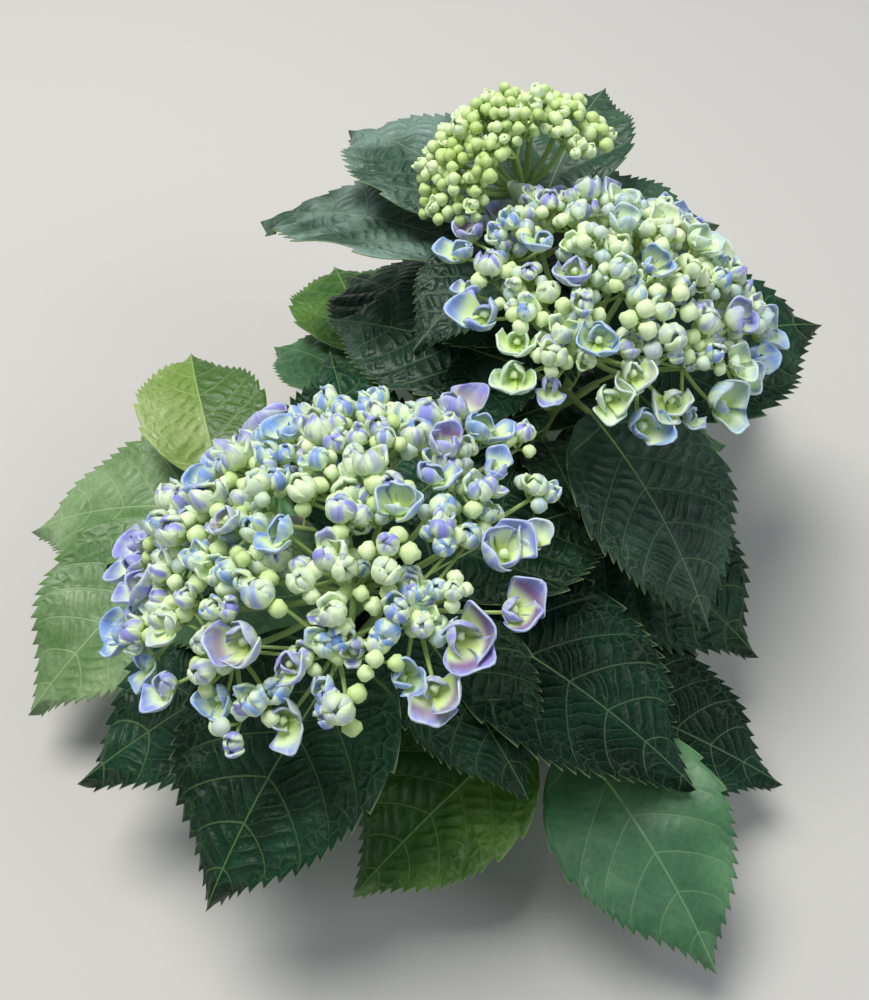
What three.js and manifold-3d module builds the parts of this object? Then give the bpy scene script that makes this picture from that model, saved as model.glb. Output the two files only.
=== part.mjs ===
// A young mophead hydrangea: a woody crown at ground level, seven canes that arch out of it,
// a leafy shoot on each cane and a flower head on the three tallest ones.
// Millimetres and degrees, +Z up. The origin is the middle of the flat cut under the crown.
// Turns are compass turns seen from above: 0 is +X and 90 is +Y.

import * as THREE from 'three';
import { mergeVertices } from 'three/addons/utils/BufferGeometryUtils.js';
import Module from 'manifold-3d';

const wasm = await Module();
wasm.setup();

// Driving dimensions
const CLEARANCE = 0.3;
const CROWN_HEIGHT = 30;
const CROWN_RADIUS = 13;
const ROOT_FLARE = 19;
const CANE_RING = 8.6;
const PEDUNCLE = 20;
const BLADE_LENGTH = 122;
const BLADE_WIDTH_SHARE = 0.68;
const BLADE_THICKNESS_SHARE = 0.014;
const STALK_SHARE = 0.17;
const STALK_RISE = 14;
const TOOTH_PAIRS = 6;
const TOOTH_DEPTH = 0.07;
const FLORET_RADIUS = 10;
const BUD_RADIUS = 5.6;
const FORK_RADIUS = 5.2;
const KNOB_RADIUS = 2.5;
const PEDUNCLE_RADIUS = 2.6;
const RAY_RADII = [1.5, 1.4, 1.2];
const STALKLET = 0.8;
const BLOOM_UNEVENNESS = 5;
const RIM_FROM = 0.86;
const RIM_OPEN_SHARE = 0.8;
const GOLDEN_TURN = 137.508;
const FINEST_DETAIL = 0.05;
const LEAF_SEED = 100;

// Stems, from the crown to the fork of the flower head or to the growing tip.
// girth is the cane's radius at its foot, rise how far it starts straight up,
// lean and leanTurn how its upper end tips over, and leafFrom where cane gives way to shoot.
const STEMS = {
  front: { foot: 250, end: [-53, -83, 126], girth: 3.3, rise: 34, lean: 19, leanTurn: 182, leafFrom: 0.3 },
  right: { foot: 5, end: [47, 27, 152], girth: 3.3, rise: 44, lean: 15, leanTurn: 352, leafFrom: 0.3 },
  back: { foot: 98, end: [18, 86, 194], girth: 3.4, rise: 56, lean: 20, leanTurn: 180, leafFrom: 0.32 },
  low_left: { foot: 198, end: [-124, 4, 66], girth: 2.5, rise: 20, lean: 62, leanTurn: 178, leafFrom: 0.42 },
  low_front: { foot: 305, end: [30, -100, 52], girth: 2.5, rise: 18, lean: 62, leanTurn: 286, leafFrom: 0.45 },
  low_back: { foot: 148, end: [-50, 98, 62], girth: 2.5, rise: 20, lean: 58, leanTurn: 125, leafFrom: 0.45 },
  low_right: { foot: 50, end: [72, 90, 58], girth: 2.5, rise: 20, lean: 60, leanTurn: 50, leafFrom: 0.45 },
};

// Leaves of each shoot, in opposite pairs from the top down: where the pair leaves the stem,
// then for each leaf its turn, size against BLADE_LENGTH, slope at its base and at its tip, and,
// where it is not left to the draw, how far it is rolled about its midrib
const LEAVES = {
  front: [
    { at: 0.8, leaves: [[239, 1.04, 2, -54], [28, 0.9, 8, -26]] },
    { at: 0.72, leaves: [[303, 0.74, 8, -40], [105, 0.92, 20, 0]] },
    { at: 0.62, leaves: [[188, 0.86, 6, -28], [323, 1.04, 4, -26]] },
    { at: 0.5, leaves: [[210, 1.26, 4, -30], [350, 0.5, -6, -30]] },
  ],
  right: [
    { at: 0.82, leaves: [[300, 0.92, -8, -50], [151, 0.92, 2, -26, -9]] },
    { at: 0.74, leaves: [[25, 1.1, 8, -28, 18], [214, 0.45, 16, -6]] },
    { at: 0.5, leaves: [[325, 1.02, -12, -40], [62, 0.86, 2, -36]] },
    { at: 0.4, leaves: [[12, 0.78, -6, -34], [178, 0.6, 0, -30]] },
  ],
  back: [
    { at: 0.86, leaves: [[66, 0.74, 20, -12], [228, 0.6, 4, -34]] },
    { at: 0.8, leaves: [[131, 1.0, 12, -28], [20, 0.72, 6, -26]] },
    { at: 0.73, leaves: [[153, 1.12, 7, -36]] },
    { at: 0.58, leaves: [[96, 0.94, 6, -34], [66, 0.98, 2, -40]] },
    { at: 0.48, leaves: [[126, 1.08, -2, -36]] },
  ],
  low_left: [
    { at: 0.97, leaves: [[226, 0.95, -4, -38], [106, 0.78, 22, -30]] },
    { at: 0.8, leaves: [[176, 0.96, 6, -40], [262, 0.6, -4, -36]] },
    { at: 0.64, leaves: [[236, 0.7, -6, -34], [132, 0.74, 2, -30]] },
  ],
  low_front: [
    { at: 0.97, leaves: [[222, 0.84, 4, -36], [300, 0.92, 4, -36]] },
    { at: 0.76, leaves: [[337, 0.88, 1, -26], [192, 0.6, -4, -28]] },
  ],
  low_back: [
    { at: 0.97, leaves: [[106, 0.84, 2, -30], [222, 0.5, -8, -34]] },
    { at: 0.78, leaves: [[140, 0.72, 8, -34], [62, 0.7, 2, -28]] },
  ],
  low_right: [
    { at: 0.97, leaves: [[28, 0.8, 6, -36], [112, 0.82, 4, -36]] },
    { at: 0.78, leaves: [[2, 0.6, 0, -30], [74, 0.66, -6, -30]] },
  ],
};

// Flower heads: half width across X and along Y, height over the fork at the middle and at the rim,
// how many sites the spiral has, the share of inner sites that are open florets, and how far the
// blooms have grown
const HEADS = {
  back: { across: 42, deep: 37, middle: 44, rim: 18, sites: 36, open: 0, growth: 0.82, seed: 8 },
  right: { across: 72, deep: 66, middle: 70, rim: 29, sites: 58, open: 0.26, growth: 1, seed: 5 },
  front: { across: 93, deep: 76, middle: 67, rim: 27, sites: 66, open: 0.34, growth: 1, seed: 3 },
};

const COLOURS = {
  crown: 0x6f5a45, cane: 0x84754f, shoot: 0x1f4a2c, low: 0x4f9a3a, head: 0xc3cfae, young: 0xb7cf6a,
};

// Numbers from 0 to 1 that come out the same on every run
function seededDraws(seed) {
  let state = seed >>> 0;
  return () => {
    state = (state + 0x6d2b79f5) >>> 0;
    let mixed = Math.imul(state ^ (state >>> 15), state | 1);
    mixed ^= mixed + Math.imul(mixed ^ (mixed >>> 7), mixed | 61);
    return ((mixed ^ (mixed >>> 14)) >>> 0) / 4294967296;
  };
}

const radians = THREE.MathUtils.degToRad;

function direction(turn, slope) {
  const flat = Math.cos(radians(slope));
  const height = Math.sin(radians(slope));
  return new THREE.Vector3(flat * Math.cos(radians(turn)), flat * Math.sin(radians(turn)), height);
}

// A closed geometry with its shared corners merged, as a solid that can be joined
function solidOf(geometry) {
  const bare = geometry.index ? geometry.toNonIndexed() : geometry;
  bare.deleteAttribute('normal');
  bare.deleteAttribute('uv');
  const merged = mergeVertices(bare, 1e-4);
  return new wasm.Manifold(new wasm.Mesh({
    numProp: 3,
    vertProperties: new Float32Array(merged.attributes.position.array),
    triVerts: new Uint32Array(merged.index.array),
  }));
}

function joined(solids) {
  return solids.reduce((whole, next) => whole.add(next));
}

// The outer shell alone: a loose scrap is dropped and a sealed hollow is filled
function geometryOf(solid) {
  const shells = solid.asOriginal().simplify(FINEST_DETAIL).decompose();
  shells.sort((one, other) => other.volume() - one.volume());
  const mesh = shells[0].getMesh();
  const geometry = new THREE.BufferGeometry();
  geometry.setAttribute('position', new THREE.BufferAttribute(new Float32Array(mesh.vertProperties), 3));
  geometry.setIndex(new THREE.BufferAttribute(new Uint32Array(mesh.triVerts), 1));
  return geometry;
}

// Every second strip of a cylinder's faces is cut along its other diagonal, so that the upper and
// the lower faces of a thin blade run side by side and never cross
function alternateDiagonals(geometry, sides, steps) {
  const index = geometry.index.array;
  for (let strip = 1; strip < sides; strip += 2) {
    for (let step = 0; step < steps; step += 1) {
      const first = 6 * (strip * steps + step);
      const [a, b, d, , c] = index.slice(first, first + 6);
      index.set([a, b, c, a, c, d], first);
    }
  }
}

// A closed skin over a row of stations. Each station has a centre, a side and an up direction,
// its half width and half height there, and how far its edges are lifted and moved forwards.
function skin(stations, sides) {
  const geometry = new THREE.CylinderGeometry(1, 1, 1, sides, stations.length - 1);
  alternateDiagonals(geometry, sides, stations.length - 1);
  const places = geometry.attributes.position;
  const corner = new THREE.Vector3();
  for (let i = 0; i < places.count; i += 1) {
    corner.fromBufferAttribute(places, i);
    const station = stations[Math.round((0.5 - corner.y) * (stations.length - 1))];
    const edge = Math.abs(corner.x);
    const place = station.centre.clone()
      .addScaledVector(station.side, corner.x * station.wide)
      .addScaledVector(station.up, corner.z * station.thick + edge * (station.lift ?? 0));
    if (station.ahead) {
      place.addScaledVector(station.along, edge * station.ahead);
    }
    places.setXYZ(i, place.x, place.y, place.z);
  }
  return solidOf(geometry);
}

// A round tapering limb through a row of points, with the radius at each. Without headings of
// its own it faces from point to point.
function limb(points, radii, sides, headings) {
  const whole = points[points.length - 1].clone().sub(points[0]);
  const isSteep = Math.abs(whole.z) > whole.length() * 0.7;
  const steady = isSteep ? new THREE.Vector3(0, 1, 0) : new THREE.Vector3(0, 0, 1);
  const stations = points.map((centre, i) => {
    const before = points[Math.max(i - 1, 0)];
    const after = points[Math.min(i + 1, points.length - 1)];
    const along = headings ? headings[i] : after.clone().sub(before).normalize();
    const side = steady.clone().cross(along).normalize();
    return { centre, side, up: along.clone().cross(side), along, wide: radii[i], thick: radii[i] };
  });
  return skin(stations, sides);
}

function headFrame(name) {
  const { lean, leanTurn } = STEMS[name];
  const axis = direction(leanTurn, 90 - lean);
  const across = new THREE.Vector3(1, 0, 0).addScaledVector(axis, -axis.x).normalize();
  return { axis, across, deep: axis.clone().cross(across) };
}

// The line of a stem: straight up out of the crown, then over to its lean at the end
function stemCurve(name) {
  const stem = STEMS[name];
  const foot = direction(stem.foot, 0).multiplyScalar(CANE_RING).setZ(CROWN_HEIGHT + CLEARANCE);
  const end = new THREE.Vector3(...stem.end);
  const bend = foot.distanceTo(end) * 0.36;
  return new THREE.CubicBezierCurve3(
    foot,
    foot.clone().add(new THREE.Vector3(0, 0, stem.rise)),
    end.clone().addScaledVector(headFrame(name).axis, -bend),
    end,
  );
}

// A stretch of a stem from one share of its line to another
function stretch(name, from, to, steps, radius, sides) {
  const curve = stemCurve(name);
  const shares = Array.from({ length: steps + 1 }, (_, i) => from + (to - from) * i / steps);
  const points = shares.map((share) => curve.getPoint(share));
  return limb(points, shares.map(radius), sides, shares.map((share) => curve.getTangent(share)));
}

// The share of a stem's line that lies a given length before its end
function shareBefore(name, length) {
  return 1 - length / stemCurve(name).getLength();
}

function makeCrown() {
  const rootLobes = 7;
  const rings = [
    [0, 0],
    [ROOT_FLARE, 0],
    [ROOT_FLARE * 0.86, CROWN_HEIGHT * 0.12],
    [CROWN_RADIUS * 1.12, CROWN_HEIGHT * 0.3],
    [CROWN_RADIUS, CROWN_HEIGHT * 0.6],
    [CROWN_RADIUS * 1.05, CROWN_HEIGHT * 0.93],
    [CROWN_RADIUS, CROWN_HEIGHT],
    [0, CROWN_HEIGHT],
  ];
  const outline = rings.map(([radius, height]) => new THREE.Vector2(radius, height));
  const geometry = new THREE.LatheGeometry(outline, rootLobes * 3);
  geometry.rotateX(Math.PI / 2);
  const places = geometry.attributes.position;
  for (let i = 0; i < places.count; i += 1) {
    const low = 1 - places.getZ(i) / CROWN_HEIGHT;
    const turn = Math.atan2(places.getY(i), places.getX(i));
    const swell = 1 + 0.12 * low * Math.cos(rootLobes * turn);
    places.setXYZ(i, places.getX(i) * swell, places.getY(i) * swell, places.getZ(i));
  }
  return solidOf(geometry);
}

// The woody part of a stem, thickest at the crown and a little swollen at its old leaf scars
function makeCane(name) {
  const { girth, leafFrom } = STEMS[name];
  const radius = (share) => girth * (1 - 0.3 * share / leafFrom) * (1 + 0.07 * Math.cos(share * 60));
  return stretch(name, 0, leafFrom, 7, radius, 8);
}

function bladeHalfWidth(share) {
  const drawnOut = THREE.MathUtils.smoothstep(share, 0.68, 1);
  return Math.sin(Math.PI * share ** 0.72) ** 0.92 * (1 - 0.42 * drawnOut);
}

// A leaf: a round stalk that runs on into a toothed blade, folded a little along its midrib.
// extra thickens it all round, to test whether there is room for it.
function makeLeaf(name, at, [turn, size, baseSlope, tipSlope, tilt], draw, extra = 0) {
  const length = BLADE_LENGTH * size;
  const swing = (draw() - 0.5) * 16;
  const roll = tilt ?? (draw() - 0.5) * 22;
  const stationCount = TOOTH_PAIRS * 2;
  const step = length / stationCount;
  const halfWidth = length * BLADE_WIDTH_SHARE / 2;
  const stalk = length * STALK_SHARE;
  const stalkRadius = length * 0.013;
  const centre = stemCurve(name).getPoint(at);
  const stations = [];
  for (let k = -2; k <= stationCount; k += 1) {
    const share = Math.max(k, 0) / stationCount;
    const slope = k < 0 ? baseSlope + STALK_RISE : baseSlope + (tipSlope - baseSlope) * share ** 1.15;
    const heading = turn + swing * (share - 0.5);
    const along = direction(heading, slope);
    const side = direction(heading + 90, 0).applyAxisAngle(along, radians(roll));
    const isTooth = k > 0 && k % 2 === 1;
    const tooth = isTooth ? 1 + TOOTH_DEPTH : 1 - TOOTH_DEPTH;
    const blade = Math.max(halfWidth * bladeHalfWidth(share) * tooth, 0.6);
    stations.push({
      centre: centre.clone(),
      along,
      side,
      up: along.clone().cross(side),
      wide: (k <= 0 ? stalkRadius : blade) + extra,
      thick: (k <= 0 ? stalkRadius : length * BLADE_THICKNESS_SHARE * (1 - 0.6 * share) / 2) + extra,
      lift: k <= 0 ? 0 : blade * 0.2 - length * 0.05 * share ** 2,
      ahead: isTooth ? step * 0.3 : 0,
    });
    centre.addScaledVector(along, k < 0 ? stalk / 2 : step);
  }
  return skin(stations, 4);
}

// A cupped floret of four sepals, or a knot of closed buds, on its stalk from a fork of the head
function makeBloom(place, facing, radius, isOpen) {
  if (!isOpen) {
    const knot = new THREE.OctahedronGeometry(radius, 0);
    knot.lookAt(facing);
    knot.translate(place.x, place.y, place.z);
    return solidOf(knot);
  }
  const halfSection = [[0, -0.34], [1, 0.2], [0, 0.06]];
  const profile = halfSection.map(([out, high]) => new THREE.Vector2(out * radius, high * radius));
  const cup = new THREE.LatheGeometry(profile, 8);
  const places = cup.attributes.position;
  for (let i = 0; i < places.count; i += 1) {
    const turn = Math.atan2(places.getZ(i), places.getX(i));
    const lobe = Math.cos(4 * turn) > 0 ? 1 : 0.64;
    places.setXYZ(i, places.getX(i) * lobe, places.getY(i), places.getZ(i) * lobe);
  }
  cup.rotateX(Math.PI / 2);
  cup.lookAt(facing);
  cup.translate(place.x, place.y, place.z);
  return solidOf(cup);
}

// A flower head: a short stalk, rays to two rings of forks, and blooms on a domed golden spiral.
// A bloom that would touch another head is skipped.
function makeHead(name, others) {
  const head = HEADS[name];
  const frame = headFrame(name);
  const fork = new THREE.Vector3(...STEMS[name].end);
  const draw = seededDraws(head.seed);
  const spot = (reach, turn, height) => fork.clone()
    .addScaledVector(frame.across, head.across * reach * Math.cos(radians(turn)))
    .addScaledVector(frame.deep, head.deep * reach * Math.sin(radians(turn)))
    .addScaledVector(frame.axis, height);
  const dome = (reach) => head.rim + (head.middle - head.rim) * (1 - reach ** 2);
  const from = shareBefore(name, PEDUNCLE);
  const stalk = stretch(name, from, 1, 3, () => PEDUNCLE_RADIUS, 6);
  const pieces = [stalk, makeBloom(fork, fork, FORK_RADIUS, false)];
  const forks = [];
  const rings = [{ count: 5, reach: 0.26, deepness: 0.55 }, { count: 10, reach: 0.62, deepness: 0.62 }];
  rings.forEach(({ count, reach, deepness }, ring) => {
    for (let i = 0; i < count; i += 1) {
      const turn = 360 * (i + 0.5 * ring) / count + 12 * draw();
      const tip = spot(reach, turn, dome(reach) * deepness);
      const bend = spot(reach * 0.55, turn, dome(reach) * deepness * 0.4);
      pieces.push(limb([fork, bend, tip], RAY_RADII, 3));
      pieces.push(makeBloom(tip, fork, KNOB_RADIUS, false));
      forks.push(tip);
    }
  });
  for (let i = 0; i < head.sites; i += 1) {
    const reach = Math.sqrt((i + 0.5) / head.sites);
    const turn = i * GOLDEN_TURN + 10 * (draw() - 0.5);
    const place = spot(reach, turn, dome(reach) + BLOOM_UNEVENNESS * (draw() - 0.5));
    const openShare = reach > RIM_FROM ? RIM_OPEN_SHARE * Math.sign(head.open) : head.open;
    const isOpen = draw() < openShare;
    const grownRadius = isOpen ? FLORET_RADIUS * (0.8 + 0.25 * reach) : BUD_RADIUS;
    const radius = grownRadius * head.growth * (0.85 + 0.3 * draw());
    const outward = place.clone().sub(fork).normalize().add(frame.axis).normalize();
    const closer = (one, other) => (other.distanceTo(place) < one.distanceTo(place) ? other : one);
    const nearest = forks.reduce(closer);
    const widerStalk = limb([nearest, place], [STALKLET + CLEARANCE, STALKLET + CLEARANCE], 3);
    const wider = makeBloom(place, outward, radius + CLEARANCE, isOpen).add(widerStalk);
    if (others.every((other) => wider.intersect(other).isEmpty())) {
      pieces.push(limb([nearest, place], [STALKLET, STALKLET], 3));
      pieces.push(makeBloom(place, outward, radius, isOpen));
    }
  }
  return joined(pieces);
}

// Crown, canes and heads hold their places; then the stems of the shoots, and then their leaves.
// A leaf that would touch another piece is skipped.
const solids = new Map([['crown', makeCrown()]]);
for (const name of Object.keys(STEMS)) {
  solids.set(`cane_${name}`, makeCane(name));
}
for (const name of Object.keys(HEADS)) {
  solids.set(`head_${name}`, makeHead(name, [...solids.values()]));
}
for (const name of Object.keys(STEMS)) {
  const { girth, leafFrom } = STEMS[name];
  const length = stemCurve(name).getLength();
  const gap = CLEARANCE / length;
  const to = name in HEADS ? shareBefore(name, PEDUNCLE) - gap : 1;
  const radius = (share) => girth * (0.7 - 0.12 * (share - leafFrom) / (1 - leafFrom));
  solids.set(`shoot_${name}`, stretch(name, leafFrom + gap, to, 6, radius, 6));
}
for (const name of Object.keys(LEAVES)) {
  const node = `shoot_${name}`;
  const others = [...solids.keys()].filter((other) => other !== node);
  LEAVES[name].forEach(({ at, leaves }, level) => {
    leaves.forEach((leaf, half) => {
      const seed = LEAF_SEED + level * 2 + half;
      const wider = makeLeaf(name, at, leaf, seededDraws(seed), CLEARANCE);
      const isClear = others.every((other) => wider.intersect(solids.get(other)).isEmpty());
      if (isClear) {
        solids.set(node, solids.get(node).add(makeLeaf(name, at, leaf, seededDraws(seed))));
      }
    });
  });
}

function colourOf(node) {
  if (node === 'crown') {
    return COLOURS.crown;
  }
  if (node.startsWith('cane')) {
    return COLOURS.cane;
  }
  if (node.startsWith('head')) {
    return node.endsWith('back') ? COLOURS.young : COLOURS.head;
  }
  return node.includes('low') ? COLOURS.low : COLOURS.shoot;
}

const hydrangea = new THREE.Group();
for (const [node, solid] of solids) {
  const material = new THREE.MeshStandardMaterial({ color: colourOf(node), roughness: 0.55, metalness: 0 });
  const mesh = new THREE.Mesh(geometryOf(solid), material);
  mesh.name = node;
  hydrangea.add(mesh);
}

export default hydrangea;
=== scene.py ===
# Looks of a young mophead hydrangea: barked crown and canes, green shoots, quilted and toothed
# leaves with young ones in their axils, and branching flower heads of cupped florets, opening buds
# and closed ones. Every piece grows by the rule of the part's own solids, carried on to finer forms
# within the same reach.
# Sizes below are in millimetres, as in the part's source, and MM turns them into metres.

import math
from collections import namedtuple
from functools import lru_cache

import bmesh
import bpy
import numpy as np
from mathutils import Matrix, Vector, noise


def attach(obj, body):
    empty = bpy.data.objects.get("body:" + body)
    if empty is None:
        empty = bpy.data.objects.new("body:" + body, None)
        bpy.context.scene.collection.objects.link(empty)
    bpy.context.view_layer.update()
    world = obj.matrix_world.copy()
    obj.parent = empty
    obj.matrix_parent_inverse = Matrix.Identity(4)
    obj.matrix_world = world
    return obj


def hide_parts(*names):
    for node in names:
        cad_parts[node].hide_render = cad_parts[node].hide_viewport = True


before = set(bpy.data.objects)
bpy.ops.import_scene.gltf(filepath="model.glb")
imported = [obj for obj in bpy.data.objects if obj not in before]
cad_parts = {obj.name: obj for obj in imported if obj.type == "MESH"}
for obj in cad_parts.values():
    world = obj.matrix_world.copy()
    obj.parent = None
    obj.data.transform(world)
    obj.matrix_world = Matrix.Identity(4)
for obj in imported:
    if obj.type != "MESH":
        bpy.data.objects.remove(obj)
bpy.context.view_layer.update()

MM = 0.001

# Driving dimensions of the plant
CLEARANCE = 0.3
CROWN_HEIGHT = 30
CROWN_RADIUS = 13
ROOT_FLARE = 19
ROOT_LOBES = 7
CANE_RING = 8.6
PEDUNCLE = 20
PEDUNCLE_RADIUS = 2.6
BLADE_LENGTH = 122
BLADE_WIDTH_SHARE = 0.68
BLADE_STATIONS = 12
STALK_SHARE = 0.17
STALK_RISE = 14
TOOTH_DEPTH = 0.07
LEAF_SWING = 16
LEAF_ROLL = 22
FLORET_RADIUS = 10
BUD_RADIUS = 5.6
FORK_RADIUS = 5.2
BLOOM_UNEVENNESS = 5
RIM_FROM = 0.86
RIM_OPEN_SHARE = 0.8
GOLDEN_TURN = 137.508
LEAF_SEED = 100

# Stems: turn of the foot round the crown, upper end, radius at the foot, height to which the foot
# climbs before it leans, lean of the end, the turn it leans to, and the share where green growth starts
Stem = namedtuple("Stem", "foot end girth rise lean lean_turn leaf_from")
STEMS = {
    "front": Stem(250, (-53, -83, 126), 3.3, 34, 19, 182, 0.3),
    "right": Stem(5, (47, 27, 152), 3.3, 44, 15, 352, 0.3),
    "back": Stem(98, (18, 86, 194), 3.4, 56, 20, 180, 0.32),
    "low_left": Stem(198, (-124, 4, 66), 2.5, 20, 62, 178, 0.42),
    "low_front": Stem(305, (30, -100, 52), 2.5, 18, 62, 286, 0.45),
    "low_back": Stem(148, (-50, 98, 62), 2.5, 20, 58, 125, 0.45),
    "low_right": Stem(50, (72, 90, 58), 2.5, 20, 60, 50, 0.45),
}

# Leaf pairs of each shoot from the top down, at shares of the stem. A leaf has its turn, size, slope
# at the base and at the tip, the finish of its upper side, and its roll where no draw picks that.
LEAVES = {
    "front": [
        (0.8, [(239, 1.04, 2, -54, "dark"), (28, 0.9, 8, -26, "dark")]),
        (0.72, [(303, 0.74, 8, -40, "dark"), (105, 0.92, 20, 0, "dark")]),
        (0.62, [(188, 0.86, 6, -28, "middle"), (323, 1.04, 4, -26, "deep")]),
        (0.5, [(210, 1.26, 4, -30, "dark"), (350, 0.5, -6, -30, "middle")]),
    ],
    "right": [
        (0.82, [(300, 0.92, -8, -50, "slate"), (151, 0.92, 2, -26, "slate", -9)]),
        (0.74, [(25, 1.1, 8, -28, "dark", 18), (214, 0.45, 16, -6, "dark")]),
        (0.5, [(325, 1.02, -12, -40, "dark"), (62, 0.86, 2, -36, "dark")]),
        (0.4, [(12, 0.78, -6, -34, "dark"), (178, 0.6, 0, -30, "middle")]),
    ],
    "back": [
        (0.86, [(66, 0.74, 20, -12, "sage"), (228, 0.6, 4, -34, "slate")]),
        (0.8, [(131, 1.0, 12, -28, "painted_sheen"), (20, 0.72, 6, -26, "sage")]),
        (0.73, [(153, 1.12, 7, -36, "painted_sheen")]),
        (0.58, [(96, 0.94, 6, -34, "dark"), (66, 0.98, 2, -40, "dark")]),
        (0.48, [(126, 1.08, -2, -36, "dark")]),
    ],
    "low_left": [
        (0.97, [(226, 0.95, -4, -38, "bright"), (106, 0.78, 22, -30, "lime")]),
        (0.8, [(176, 0.96, 6, -40, "bright"), (262, 0.6, -4, -36, "bright")]),
        (0.64, [(236, 0.7, -6, -34, "bright"), (132, 0.74, 2, -30, "middle")]),
    ],
    "low_front": [
        (0.97, [(222, 0.84, 4, -36, "fresh"), (300, 0.92, 4, -36, "smooth")]),
        (0.76, [(337, 0.88, 1, -26, "deep"), (192, 0.6, -4, -28, "middle")]),
    ],
    "low_back": [
        (0.97, [(106, 0.84, 2, -30, "fresh"), (222, 0.5, -8, -34, "middle")]),
        (0.78, [(140, 0.72, 8, -34, "middle"), (62, 0.7, 2, -28, "middle")]),
    ],
    "low_right": [
        (0.97, [(28, 0.8, 6, -36, "middle"), (112, 0.82, 4, -36, "middle")]),
        (0.78, [(2, 0.6, 0, -30, "middle"), (74, 0.66, -6, -30, "middle")]),
    ],
}

# Young leaves that stand in the axils: the share of the stem, turn and size of each, and their slopes
YOUNG_LEAVES = {
    "front": [(0.4, 205, 0.5), (0.45, 35, 0.45), (0.56, 262, 0.4)],
    "right": [(0.42, 250, 0.5), (0.6, 205, 0.4), (0.6, 285, 0.42), (0.66, 100, 0.4)],
    "back": [(0.55, 245, 0.5), (0.66, 290, 0.4), (0.62, 190, 0.4)],
    "low_left": [(0.66, 330, 0.45), (0.72, 80, 0.45)],
    "low_front": [(0.7, 262, 0.45), (0.62, 60, 0.4)],
    "low_back": [(0.7, 350, 0.45)],
    "low_right": [(0.7, 205, 0.5), (0.7, 320, 0.45)],
}
YOUNG_SLOPES = (24, -16)

# Flower heads: half widths, height over the fork at the middle and at the rim, sites of the spiral,
# share of inner sites that are open, growth of the blooms, seed of the draws, size of the open blooms
# against the source's, share of the buds that are opening, how much blue has come, the first and last
# of the bud tones, the slot, and the notch that parts a head: its turn, half its angle and the reach
# where it starts, which is past the rim where there is none
Head = namedtuple("Head", "across deep middle rim sites open growth seed fine opening flush tones slot notch",
                  defaults=[(0, 0, 2)])
HEADS = {
    "back": Head(across=42, deep=37, middle=44, rim=18, sites=36, open=0, growth=0.82, seed=8, fine=0.74,
                 opening=0.2, flush=0.06, tones=(0, 2), slot="green_buds", notch=(-62, 34, 0.5)),
    "right": Head(across=72, deep=66, middle=70, rim=29, sites=58, open=0.26, growth=1, seed=5, fine=0.82,
                  opening=0.6, flush=1.35, tones=(2, 4), slot="blossom"),
    "front": Head(across=93, deep=76, middle=67, rim=27, sites=66, open=0.34, growth=1, seed=3, fine=0.92,
                  opening=0.7, flush=1.8, tones=(1, 4), slot="blossom"),
}

# Two rings of forks in a head: their count, reach, and share of the dome's height
FORK_RINGS = [(5, 0.26, 0.55), (10, 0.62, 0.62)]

# Fineness of the shapes
LEAF_ROWS = 102
LEAF_COLUMNS = 28
YOUNG_ROWS = 54
TOOTH_ROWS = 6
VEIN_PAIRS = 6.5
VEIN_SWEEP = 0.36
RIB_SPACING = 5.5
LEAF_THICKNESS = 0.45
WORD = 0xFFFFFFFF

# Camera: its place in metres, how far it looks down in degrees, and the height of its film
CAMERA_PLACE = (-0.0204, -0.3519, 0.530)
CAMERA_LOOKS_DOWN = 52
FILM_HEIGHT = 24


def seeded_draws(seed):
    """Numbers from 0 to 1 that come out as they do in the part's source"""
    state = seed

    def draw():
        nonlocal state
        state = (state + 0x6D2B79F5) & WORD
        mixed = ((state ^ (state >> 15)) * (state | 1)) & WORD
        mixed ^= (mixed + ((mixed ^ (mixed >> 7)) * (mixed | 61) & WORD)) & WORD
        return ((mixed ^ (mixed >> 14)) & WORD) / 4294967296

    return draw


def direction(turn, slope):
    """Unit directions from compass turns and slopes, in degrees"""
    turn, slope = np.radians(turn), np.radians(slope)
    flat = np.cos(slope)
    return columns(flat * np.cos(turn), flat * np.sin(turn), np.sin(slope))


def unit(vectors):
    return vectors / np.linalg.norm(vectors, axis=-1, keepdims=True)


def columns(*values):
    """Values as the columns of one array; a single number fills its column"""
    return np.stack(np.broadcast_arrays(*values), axis=-1)


def smooth_step(values, low, high):
    share = np.clip((np.asarray(values, dtype=float) - low) / (high - low), 0, 1)
    return share * share * (3 - 2 * share)


# Shapes that are repeated


class Shape:
    """A small closed mesh kept as arrays, with a flat layout: faces that look up lie in the left
    half of a square cell and faces that look down in the right half"""

    def __init__(self, bm):
        bmesh.ops.recalc_face_normals(bm, faces=bm.faces[:])
        bm.verts.index_update()
        self.corners = np.array([vert.co[:] for vert in bm.verts])
        self.loops = np.array([vert.index for face in bm.faces for vert in face.verts])
        self.sizes = np.array([len(face.verts) for face in bm.faces])
        self.is_under = np.array([face.normal.z < 0.2 for face in bm.faces])
        loop_is_under = np.repeat(self.is_under, self.sizes)
        corner = self.corners[self.loops]
        spread = 1 + 0.05 * (corner[:, 2:] < -1e-4)
        across, along = (0.5 + (0.44, 0.45) * np.clip(corner[:, :2] * spread, -1.05, 1.05)).T
        self.flat = columns((across + loop_is_under) / 2, along)
        bm.free()


def slab(column_count, row_count):
    """A closed flat slab two units wide and long, cut into columns and rows"""
    bm = bmesh.new()
    bmesh.ops.create_grid(bm, x_segments=column_count, y_segments=row_count, size=1)
    bmesh.ops.solidify(bm, geom=bm.faces[:], thickness=1)
    lowest = min(vert.co.z for vert in bm.verts)
    bmesh.ops.translate(bm, verts=bm.verts[:], vec=(0, 0, -lowest - 0.5))
    return Shape(bm)


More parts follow.
